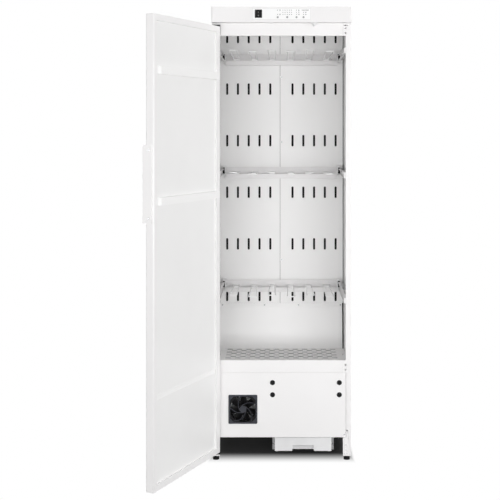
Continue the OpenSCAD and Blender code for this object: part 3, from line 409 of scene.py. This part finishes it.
def magnet_strip(name, colour):
    """Matt ferrite in rubber."""
    strip = Finish(name)
    specks = strip.noise(0.7 * MM, detail=4.0)
    tone = strip.mix(specks, rgba(colour, 0.8), rgba(colour, 1.3))
    return strip.close(tone, 0.7 + 0.1 * specks, specks, 0.05 * MM)


# ---- Sizes and colours that a user would change ----

def colour_setting(name, description, default):
    return FloatVectorProperty(name=name, description=description, subtype="COLOR", size=3,
                               min=0, max=1, default=default)


def length_setting(name, description, low, high, default):
    return FloatProperty(name=name, description=description, subtype="DISTANCE", unit="LENGTH",
                         min=low, max=high, default=default)


def number_setting(name, description, low, high, default):
    return FloatProperty(name=name, description=description, min=low, max=high, default=default)


class CabinetLook(bpy.types.PropertyGroup):
    """Colours and surface of the painted and moulded pieces."""

    casing_colour: colour_setting(
        "Casing", "Powder coat of the casing and the door's outside", (0.855, 0.845, 0.845))
    chamber_colour: colour_setting(
        "Chamber", "Powder coat of the sheets inside the chamber", (0.96, 0.957, 0.953))
    cap_colour: colour_setting("Cap", "Powder coat of the top cap", (0.81, 0.8, 0.8))
    film_colour: colour_setting("Film", "Printed film of the control panel", (0.87, 0.87, 0.87))
    door_inner_colour: colour_setting(
        "Door inside", "Powder coat of the door's inner panels", (0.86, 0.857, 0.853))
    # The battens' tone is lighter than the door's inner panels: a painted highlight on their fronts
    batten_highlight_colour: colour_setting(
        "Battens", "Powder coat of the door's battens", (0.895, 0.892, 0.888))
    wire_colour: colour_setting(
        "Rods", "Coating of the hanging rods and white of the gliders", (0.93, 0.93, 0.93))
    black_colour: colour_setting(
        "Black plastic", "Gliders, fans, feet, plugs and switch", (0.006, 0.006, 0.0065))
    grille_colour: colour_setting(
        "Grille", "Dark grey plastic of the fan grille", (0.05, 0.052, 0.062))
    tank_colour: colour_setting(
        "Container", "Milky plastic of the water container", (0.76, 0.76, 0.765))
    mark_colour: colour_setting("Print", "Ink of the control panel's marks", (0.03, 0.03, 0.033))
    tone_drift: number_setting(
        "Tone drift", "How much darker the darkest cloud of the coat is", 0, 0.1, 0.02)
    coat_roughness: number_setting(
        "Coat roughness", "Roughness of the powder coat", 0.1, 0.9, 0.42)
    peel_depth: length_setting(
        "Orange peel", "Depth of the coat's orange peel", 0, 1 * MM, 0.05 * MM)
    edge_radius: length_setting(
        "Edge radius", "Rounding of painted sheet edges", 0, 2 * MM, 0.4 * MM)


class CabinetFittings(bpy.types.PropertyGroup):
    """Sizes of the control panel's print."""

    dot_radius: length_setting(
        "Dot", "Radius of a printed dot", 0.3 * MM, 3 * MM, 1.5 * MM)
    dot_pitch: length_setting(
        "Dot pitch", "Distance between the rows and columns of dots", 4 * MM, 15 * MM, 9.1 * MM)
    ink_height: length_setting(
        "Ink height", "How far the ink stands on the film", 0.02 * MM, 0.5 * MM, 0.08 * MM)
    sign_size: length_setting(
        "Sign", "Size of a printed sign beside its dot", 2 * MM, 8 * MM, 6.2 * MM)


class CabinetStudio(bpy.types.PropertyGroup):
    """Camera, light and the floor's shadow."""

    eye_height: length_setting("Eye height", "Height of the camera over the floor", 0.2, 3, 1.41)
    eye_distance: length_setting(
        "Distance", "Distance of the camera from the casing's middle", 2, 12, 5.11)
    focal_pixels: number_setting(
        "Focal length", "Focal length in pixels of the frame", 300, 4000, 1124)
    axis_column: number_setting(
        "Axis column", "Column of the frame that the optical axis meets", 0, 500, 281.4)
    axis_row: number_setting(
        "Axis row", "Row of the frame that the optical axis meets", 0, 500, 131)
    sky_strength: number_setting(
        "Fill light", "Strength of the even light from all round", 0, 2, 0.31)
    key_power: FloatProperty(
        name="Key light", description="Power that each lamp takes its share of",
        subtype="POWER", min=0, max=2000, default=97)
    shadow_depth: length_setting(
        "Shadow depth", "How far inside the front and back the shadow starts to fade",
        0.01, 2, 0.13)
    shadow_reach: length_setting(
        "Shadow reach", "How far outside the front and back the floor is white", 0.01, 2, 0.04)
    shadow_inward: length_setting(
        "Side shadow depth", "How far inside the sides the shadow starts to fade", 0, 1, 0.01)
    shadow_outward: length_setting(
        "Side shadow reach", "How far outside the sides the floor is white", 0.001, 1, 0.02)


# ---- Mesh helpers ----

def make_piece(name, work, material, body):
    """Turns a bmesh into a piece that rides on a body."""
    mesh = bpy.data.meshes.new(name)
    bmesh.ops.recalc_face_normals(work, faces=work.faces)
    work.to_mesh(mesh)
    work.free()
    piece = bpy.data.objects.new(name, mesh)
    bpy.context.scene.collection.objects.link(piece)
    mesh.materials.append(material)
    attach(piece, body)


def add_prism(work, outline, depth, place):
    """A flat outline in X and Y, raised by depth along Z, then put in its place."""
    low = [work.verts.new(place @ Vector((x, y, 0))) for x, y in outline]
    high = [work.verts.new(place @ Vector((x, y, depth))) for x, y in outline]
    work.faces.new(low[::-1])
    work.faces.new(high)
    for i in range(len(outline)):
        j = (i + 1) % len(outline)
        work.faces.new((low[i], low[j], high[j], high[i]))


def add_ring(work, outer, inner, depth, place):
    """A flat ring, raised by depth along Z, then put in its place."""
    sides = 24
    loops = []
    for radius, height in ((inner, 0), (inner, depth), (outer, depth), (outer, 0)):
        loops.append([work.verts.new(place @ Vector((x, y, height)))
                      for x, y in circle_outline(radius, sides)])
    for k in range(4):
        first, second = loops[k], loops[(k + 1) % 4]
        for i in range(sides):
            j = (i + 1) % sides
            work.faces.new((first[i], first[j], second[j], second[i]))


def circle_outline(radius, sides=16):
    angles = [2 * math.pi * i / sides for i in range(sides)]
    return [(radius * math.cos(a), radius * math.sin(a)) for a in angles]


def bar_outline(width, height, centre=(0, 0)):
    x, y = centre
    w, h = width / 2, height / 2
    return [(x - w, y - h), (x + w, y - h), (x + w, y + h), (x - w, y + h)]


def facing_front(x, y, z):
    """A place on a front face: its X to the right, its Y up, its Z towards the viewer."""
    return Matrix.Translation((x, y, z)) @ Matrix.Rotation(math.pi / 2, 4, "X")


def door_turn():
    """The turn from the shut door to where it stands open."""
    return Matrix.Rotation(-DOOR_OPEN, 3, "Z")


def with_door(point):
    """A point given on the shut door, swung to where the door stands."""
    return door_turn() @ (point - DOOR_HINGE) + DOOR_HINGE


def islands(node):
    """The points of each separate solid of a CAD node."""
    work = bmesh.new()
    work.from_mesh(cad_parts[node].data)
    bmesh.ops.remove_doubles(work, verts=work.verts, dist=SAME_POINT)
    left = set(work.verts)
    groups = []
    while left:
        stack = [left.pop()]
        group = []
        while stack:
            vert = stack.pop()
            group.append(vert.co.copy())
            for edge in vert.link_edges:
                other = edge.other_vert(vert)
                if other in left:
                    left.remove(other)
                    stack.append(other)
        groups.append(group)
    work.free()
    return groups


def corners(points):
    """The low and the high corner of the points' box."""
    low = Vector([min(p[i] for p in points) for i in range(3)])
    high = Vector([max(p[i] for p in points) for i in range(3)])
    return low, high


def soften(node, radius):
    """Rounds the sharp edges of a CAD node by modifiers, so that they catch the light."""
    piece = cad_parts[node]
    weld = piece.modifiers.new("weld", "WELD")
    weld.merge_threshold = SAME_POINT
    round_off = piece.modifiers.new("edges", "BEVEL")
    round_off.width = radius
    round_off.segments = 2
    round_off.limit_method = "ANGLE"
    round_off.angle_limit = math.radians(50)
    round_off.harden_normals = True


def paint(material, *nodes):
    """Gives CAD nodes one material."""
    for node in nodes:
        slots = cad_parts[node].data.materials
        if len(slots) == 0:
            slots.append(material)
        for i in range(len(slots)):
            slots[i] = material


# ---- Operators ----

class CabinetOperator:
    """What the cabinet's operators share."""

    bl_options = {"REGISTER", "UNDO"}

    @property
    def look(self):
        return bpy.context.scene.cabinet_look

    @property
    def fittings(self):
        return bpy.context.scene.cabinet_fittings


class CABINET_OT_casing(CabinetOperator, bpy.types.Operator):
    """Paint the casing, the cap and the door, and round their edges"""

    bl_idname = "cabinet.casing"
    bl_label = "Casing and Door"

    def execute(self, context):
        look = self.look
        coat = powder_coat("casing_coat", look.casing_colour, look)
        paint(coat, "side_panel_left", "side_panel_right", "top_panel", "front_lintel",
              "service_panel", "front_lip", "door_skin", "door_handle")
        paint(powder_coat("cap_coat", look.cap_colour, look), "top_cap")
        paint(back_sheet_with_painted_shade("back_coat", look.casing_colour, look), "back_panel")
        paint(powder_coat("door_inner_coat", look.door_inner_colour, look), "door_inner_panels")
        # Painted highlight: the battens are painted lighter than the inner panels
        paint(powder_coat("batten_highlight_coat", look.batten_highlight_colour, look), "door_stiffeners")
        for node in ("side_panel_left", "side_panel_right", "top_cap", "door_skin", "door_handle",
                     "door_stiffeners", "front_lip", "front_lintel"):
            soften(node, look.edge_radius)
        return {"FINISHED"}


class CABINET_OT_chamber(CabinetOperator, bpy.types.Operator):
    """Paint the chamber's sheets, the rails and the racks"""

    bl_idname = "cabinet.chamber"
    bl_label = "Chamber and Racks"

    def execute(self, context):
        look = self.look
        coat = powder_coat("chamber_coat", look.chamber_colour, look)
        paint(coat, "lower_back_panel", "chamber_ceiling")
        punched = punched_coat("floor_sheet_coat", look.chamber_colour, look, FLOOR_TOP)
        paint(punched, "perforated_floor")
        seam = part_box("slotted_wall_right")[0][0]
        walls = seamed_coat("slotted_wall_coat", look.chamber_colour, look, seam)
        paint(walls, "slotted_wall_left", "slotted_wall_right")
        steel = powder_coat("rack_coat", look.casing_colour, look)
        rods = powder_coat("rod_coat", look.wire_colour, look)
        paint(steel, "rack_rails")
        for level in LEVELS:
            paint(steel, "rack_bar_" + level)
            paint(rods, "rack_rods_" + level)
            teeth = glider_teeth(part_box("rack_gliders_" + level)[1][2])
            glider = two_shot_plastic("glider_plastic_" + level, look.black_colour,
                                      look.wire_colour, teeth)
            paint(glider, "rack_gliders_" + level)
            soften("rack_bar_" + level, look.edge_radius)
        soften("rack_rails", look.edge_radius)
        return {"FINISHED"}


class CABINET_OT_machine(CabinetOperator, bpy.types.Operator):
    """Finish the machine compartment, the fans and the grille"""

    bl_idname = "cabinet.machine"
    bl_label = "Machine Compartment"

    def execute(self, context):
        look = self.look
        paint(zinc_sheet("zinc", (0.66, 0.67, 0.68)), "machine_base", "circulation_fan_housing")
        paint(enamelled_shell("compressor_enamel", (0.012, 0.012, 0.012)), "compressor")
        paint(rolled_fins("fin_metal", (0.78, 0.79, 0.80)), "evaporator", "condenser")
        paint(copper_tube("copper", (0.78, 0.42, 0.28)), "refrigerant_pipes")
        paint(moulded_plastic("tray_plastic", (0.45, 0.46, 0.47), 0.45), "drain_tray")
        paint(moulded_plastic("grille_plastic", look.grille_colour, 0.46), "fan_grille")
        paint(moulded_plastic("fan_plastic", look.black_colour, 0.4), "cooling_fan_rotor",
              "circulation_fan_wheel", "cooling_fan_housing")
        paint(moulded_plastic("black_fittings", look.black_colour, 0.48), "panel_plugs",
              "cable_gland", *FEET)
        soften("fan_grille", 0.5 * MM)
        return {"FINISHED"}


class CABINET_OT_hardware(CabinetOperator, bpy.types.Operator):
    """Finish the hinges, bushes, magnets and screws, with painted shadows for the drives of the
    screws
    """

    bl_idname = "cabinet.hardware"
    bl_label = "Hinges and Screws"

    def execute(self, context):
        look = self.look
        paint(moulded_plastic("hinge_paint", look.black_colour, 0.42),
              "hinge_brackets", "hinge_bushes")
        paint(magnet_strip("ferrite", (0.05, 0.05, 0.052)), "door_magnets")
        paint(bright_screw("screw_zinc", (0.62, 0.63, 0.64)), "fixing_screws", "handle_screws")
        # The screws' drives are flat dark crosses: painted shadow of their recesses
        shade = moulded_plastic("drive_shadow", (0.03, 0.03, 0.03), 0.6)
        self.add_drive_shadows("casing_screw_drive_shadows", "fixing_screws", shade, "cabinet")
        outward = door_turn() @ Vector((1, 0, 0))
        self.add_drive_shadows("handle_screw_drive_shadows", "handle_screws", shade, "door", outward)
        self.add_pin_plug()
        return {"FINISHED"}

    def add_pin_plug(self):
        """The plug in the free upper corner, where the pin goes in a door hung on the right."""
        flange, boss = (6.5 * MM, 0.8 * MM), (4.2 * MM, 2.0 * MM)
        work = bmesh.new()
        place = Matrix.Translation(with_door(FREE_PIN_SEAT))
        for radius, height in (flange, boss):
            add_prism(work, circle_outline(radius, 24), height, place)
        plug = moulded_plastic("pin_plug_plastic", self.look.casing_colour, 0.4)
        make_piece("door_pin_plug", work, plug, "door")

    def add_drive_shadows(self, name, node, material, body, outward=None):
        """A dark cross of painted shadow on each screw's head, for its cross drive, which faces
        outward or as its shape tells.
        """
        length, width, height = 3.4 * MM, 0.9 * MM, 0.05 * MM
        work = bmesh.new()
        for points in islands(node):
            low, high = corners(points)
            facing = outward or self.head_direction(low, high)
            middle = (low + high) / 2
            reach = max(p.dot(facing) for p in points)
            head = middle + (reach - middle.dot(facing)) * facing
            turn = facing.to_track_quat("Z", "Y").to_matrix().to_4x4()
            for across, along in ((length, width), (width, length)):
                add_prism(work, bar_outline(across, along), height,
                          Matrix.Translation(head) @ turn)
        make_piece(name, work, material, body)

    @staticmethod
    def head_direction(low, high):
        """Screws lie across the front; the floor's two stand upright, heads up."""
        size = high - low
        upright = abs(size.x - size.y) < 0.1 * MM
        return Vector((0, 0, 1)) if upright else Vector((0, -1, 0))


class CABINET_OT_controls(CabinetOperator, bpy.types.Operator):
    """Finish the control panel's film, switch and buttons, and print their marks"""

    bl_idname = "cabinet.controls"
    bl_label = "Controls"

    def execute(self, context):
        look = self.look
        paint(panel_film("panel_film", look.film_colour, look), "control_panel")
        paint(circuit_board("solder_mask", (0.03, 0.16, 0.07)), "control_board")
        paint(moulded_plastic("switch_plastic", look.black_colour, 0.38), "rocker_switch")
        # Left of the border the rocker's housing is black, right of it the door switch's is white
        border = 100 * MM
        housings = two_shot_plastic(
            "housing_plastic", look.black_colour, look.casing_colour,
            lambda plastic: 1 - plastic.along("X").step(border, border + MM))
        paint(housings, "switch_housings")
        paint(moulded_plastic("button_plastic", (0.36, 0.37, 0.38), 0.4), *BUTTONS)
        paint(moulded_plastic("plunger_plastic", (0.85, 0.85, 0.85), 0.35), "door_switch_plunger")
        for button in BUTTONS:
            soften(button, 0.4 * MM)
        self.print_panel(printed_ink("panel_ink", look.mark_colour))
        self.print_rocker(printed_ink("rocker_ink", (0.5, 0.5, 0.5)))
        return {"FINISHED"}

    def print_panel(self, ink):
        """Dots and signs over each button, and a row of small blocks at the top right."""
        fit = self.fittings
        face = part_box("control_panel")[0][1]
        pitch = fit.dot_pitch
        work = bmesh.new()
        buttons = [sum(vectors(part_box(name)), Vector()) / 2 for name in BUTTONS]
        first_row = buttons[0].z + 11.9 * MM
        sign_offset = 9.8 * MM
        # One tuple a button: columns of dots, rows of dots, and whether signs stand beside them
        groups = [(1, (0, 2), True), (5, (0, 1, 2), False), (1, (0, 1, 2), True), (1, (0, 1), True)]
        for number, (button, (columns, rows, signs)) in enumerate(zip(buttons, groups)):
            for row in rows:
                z = first_row + row * pitch
                for column in range(columns):
                    x = button.x + (column - (columns - 1) / 2) * pitch
                    add_prism(work, circle_outline(fit.dot_radius), fit.ink_height,
                              facing_front(x, face, z))
                if signs:
                    self.add_sign(work, (number + row) % 3,
                                  facing_front(button.x + sign_offset, face, z))
        blocks, block_pitch, block_width, block_height = 8, 3.7 * MM, 2.5 * MM, 2.8 * MM
        middle = buttons[-1].x + 7 * MM
        for i in range(blocks):
            x = middle + (i - (blocks - 1) / 2) * block_pitch
            add_prism(work, bar_outline(block_width, block_height), fit.ink_height,
                      facing_front(x, face, first_row + 2 * pitch))
        make_piece("panel_print", work, ink, "cabinet")

    def add_sign(self, work, kind, place):
        """A small plain sign, in parts of its size: rays, a drop or three lines of air."""
        size = self.fittings.sign_size
        ink = self.fittings.ink_height
        if kind == 0:
            add_prism(work, circle_outline(0.22 * size), ink, place)
            for i in range(8):
                turn = Matrix.Rotation(i * math.pi / 4, 4, "Z")
                ray = bar_outline(0.2 * size, 0.09 * size, (0.4 * size, 0))
                add_prism(work, ray, ink, place @ turn)
        elif kind == 1:
            drop = [(0.28 * size * math.cos(a), 0.28 * size * math.sin(a) - 0.12 * size)
                    for a in (math.radians(150 + 24 * i) for i in range(11))]
            add_prism(work, drop + [(0, 0.5 * size)], ink, place)
        else:
            for i in (-1, 0, 1):
                add_prism(work, bar_outline(size, 0.12 * size, (0, 0.3 * i * size)), ink, place)

    def print_rocker(self, ink):
        """The bar and the ring on the two halves of the rocker."""
        low, high = vectors(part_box("rocker_switch"))
        axis = Vector(((low.x + high.x) / 2, ROCKER_AXIS_Y, ROCKER_AXIS_Z))
        # From the axis out to a half's face and up or down to its middle, and the face's slope
        face, reach, slope = 4.7 * MM, 7 * MM, math.atan(0.1)
        height = 0.1 * MM
        work = bmesh.new()
        upper, lower = (
            Matrix.Translation(axis) @ Matrix.Rotation(ROCKER_REST, 4, "X")
            @ Matrix.Translation((0, -face, side * reach))
            @ Matrix.Rotation(math.pi / 2 + side * slope, 4, "X") for side in (1, -1))
        add_prism(work, bar_outline(0.9 * MM, 4.4 * MM), height, upper)
        add_ring(work, 2.3 * MM, 1.5 * MM, height, lower)
        make_piece("rocker_marks", work, ink, "rocker")


class CABINET_OT_container(CabinetOperator, bpy.types.Operator):
    """Finish the water container and its runners"""

    bl_idname = "cabinet.container"
    bl_label = "Water Container"

    def execute(self, context):
        milky = milky_tank("container_plastic", self.look.tank_colour)
        paint(milky, "water_container")
        paint(moulded_plastic("runner_plastic", (0.3, 0.3, 0.305), 0.5), "container_runners")
        soften("water_container", 0.8 * MM)
        self.add_nubs(milky)
        return {"FINISHED"}

    def add_nubs(self, material):
        """Two small nubs on which the container stands when it is taken out."""
        low, high = vectors(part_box("water_container"))
        inset, length = 16 * MM, 10 * MM
        profile = [(6, 0), (5.2, -1.6), (3.6, -2.6), (-3.6, -2.6), (-5.2, -1.6), (-6, 0)]
        outline = [(x * MM, y * MM) for x, y in profile]
        work = bmesh.new()
        for x in (low.x + inset, high.x - inset):
            add_prism(work, outline, length, facing_front(x, low.y + inset, low.z))
        make_piece("container_nubs", work, material, "container")


class CABINET_OT_studio(CabinetOperator, bpy.types.Operator):
    """Set up the camera, the floor and the light"""

    bl_idname = "cabinet.studio"
    bl_label = "Studio"

    def execute(self, context):
        studio = context.scene.cabinet_studio
        self.add_camera(context, studio)
        self.add_floor(context, studio)
        self.add_lamps(context, studio)
        self.add_world(context, studio)
        context.scene.view_settings.view_transform = "Standard"
        return {"FINISHED"}

    def add_camera(self, context, studio):
        """A level camera, its lens shifted to the photograph's framing."""
        data = bpy.data.cameras.new("camera")
        data.sensor_width = 36
        data.lens = studio.focal_pixels / PHOTO_WIDTH * data.sensor_width
        data.shift_x = 0.5 - studio.axis_column / PHOTO_WIDTH
        data.shift_y = studio.axis_row / PHOTO_WIDTH - 0.5
        camera = bpy.data.objects.new("camera", data)
        camera.location = (0, -studio.eye_distance, studio.eye_height)
        camera.rotation_euler = (math.pi / 2, 0, 0)
        context.scene.collection.objects.link(camera)
        context.scene.camera = camera

    def add_floor(self, context, studio):
        """A dark grey floor that keeps the rendered shadow; round the casing the eye sees it grey
        as painted shadow, and farther out it is lifted to white only for the eye.
        """
        half_side = 30
        work = bmesh.new()
        bmesh.ops.create_grid(work, x_segments=1, y_segments=1, size=half_side)
        mesh = bpy.data.meshes.new("floor")
        work.to_mesh(mesh)
        work.free()
        floor = bpy.data.objects.new("floor", mesh)
        context.scene.collection.objects.link(floor)
        paper = Finish("floor_paper")
        depth, reach = studio.shadow_depth, studio.shadow_reach
        inward, outward = studio.shadow_inward, studio.shadow_outward
        # How far outside the casing a point lies; to the sides it is scaled to its own fade
        beside = abs(paper.along("X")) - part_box("side_panel_right")[1][0]
        before = abs(paper.along("Y")) - CAD_BOX[1][1]
        steeper = (depth + reach) / (inward + outward)
        away = ((beside - outward) * steeper + reach).at_least(before)
        # Painted shadow: near the casing the eye sees the dark grey floor, farther out the white
        glow = self.seen(paper) * away.step(-depth, reach)
        white = paper.add("ShaderNodeEmission", None, {"Color": rgba((1, 1, 1)), "Strength": 1.0})
        grey = rgba((0.13, 0.13, 0.13))
        material = paper.close(grey, 0.9, fixed={"Specular IOR Level": 0.0})
        out = paper.add("ShaderNodeMixShader", None,
                        {0: glow, 1: Wire(paper, paper.surface.outputs[0]), 2: white})
        paper.feed(paper.tree.nodes["Material Output"].inputs["Surface"], out)
        mesh.materials.append(material)

    @staticmethod
    def seen(nodes):
        """1 for rays from the eye, also by way of a mirror or glass."""
        path = {name: nodes.add("ShaderNodeLightPath", output=name)
                for name in ("Is Camera Ray", "Is Glossy Ray", "Is Transmission Ray")}
        both = path["Is Camera Ray"].at_least(path["Is Glossy Ray"])
        return both.at_least(path["Is Transmission Ray"])

    def add_lamps(self, context, studio):
        """Large soft lamps that all aim at the cabinet's middle."""
        target = Vector((0, 0, 1.0))
        for name, place, (width, height), share in LAMPS:
            data = bpy.data.lights.new(name, "AREA")
            data.shape = "RECTANGLE"
            data.size = width
            data.size_y = height
            data.energy = studio.key_power * share
            lamp = bpy.data.objects.new(name, data)
            lamp.location = place
            aim = target - lamp.location
            lamp.rotation_euler = aim.to_track_quat("-Z", "Y").to_euler()
            context.scene.collection.objects.link(lamp)

    def add_world(self, context, studio):
        """A white surround for the eye, and a dimmer one that lights the cabinet."""
        world = bpy.data.worlds.new("studio")
        world.use_nodes = True
        context.scene.world = world
        nodes = Nodes(world.node_tree)
        background = world.node_tree.nodes["Background"]
        background.inputs["Color"].default_value = (1, 1, 1, 1)
        seen = self.seen(nodes)
        nodes.feed(background.inputs["Strength"], seen + (1 - seen) * studio.sky_strength)


class CABINET_PT_panel(bpy.types.Panel):
    """The cabinet's operators and settings in the sidebar"""

    bl_label = "Drying Cabinet"
    bl_idname = "CABINET_PT_panel"
    bl_space_type = "VIEW_3D"
    bl_region_type = "UI"
    bl_category = "Cabinet"

    def draw(self, context):
        for step in STEPS:
            self.layout.operator(step.bl_idname)
        for settings in (context.scene.cabinet_look, context.scene.cabinet_fittings,
                         context.scene.cabinet_studio):
            for name in settings.__annotations__:
                self.layout.prop(settings, name)


STEPS = [CABINET_OT_studio, CABINET_OT_casing, CABINET_OT_chamber, CABINET_OT_machine,
         CABINET_OT_hardware, CABINET_OT_controls, CABINET_OT_container]
CLASSES = [CabinetLook, CabinetFittings, CabinetStudio, *STEPS, CABINET_PT_panel]


def register():
    for cls in CLASSES:
        bpy.utils.register_class(cls)
    bpy.types.Scene.cabinet_look = PointerProperty(type=CabinetLook)
    bpy.types.Scene.cabinet_fittings = PointerProperty(type=CabinetFittings)
    bpy.types.Scene.cabinet_studio = PointerProperty(type=CabinetStudio)


def unregister():
    del bpy.types.Scene.cabinet_studio
    del bpy.types.Scene.cabinet_fittings
    del bpy.types.Scene.cabinet_look
    for cls in reversed(CLASSES):
        bpy.utils.unregister_class(cls)


def main():
    register()
    for step in STEPS:
        group, name = step.bl_idname.split(".")
        getattr(getattr(bpy.ops, group), name)()


if __name__ == "__main__":
    main()
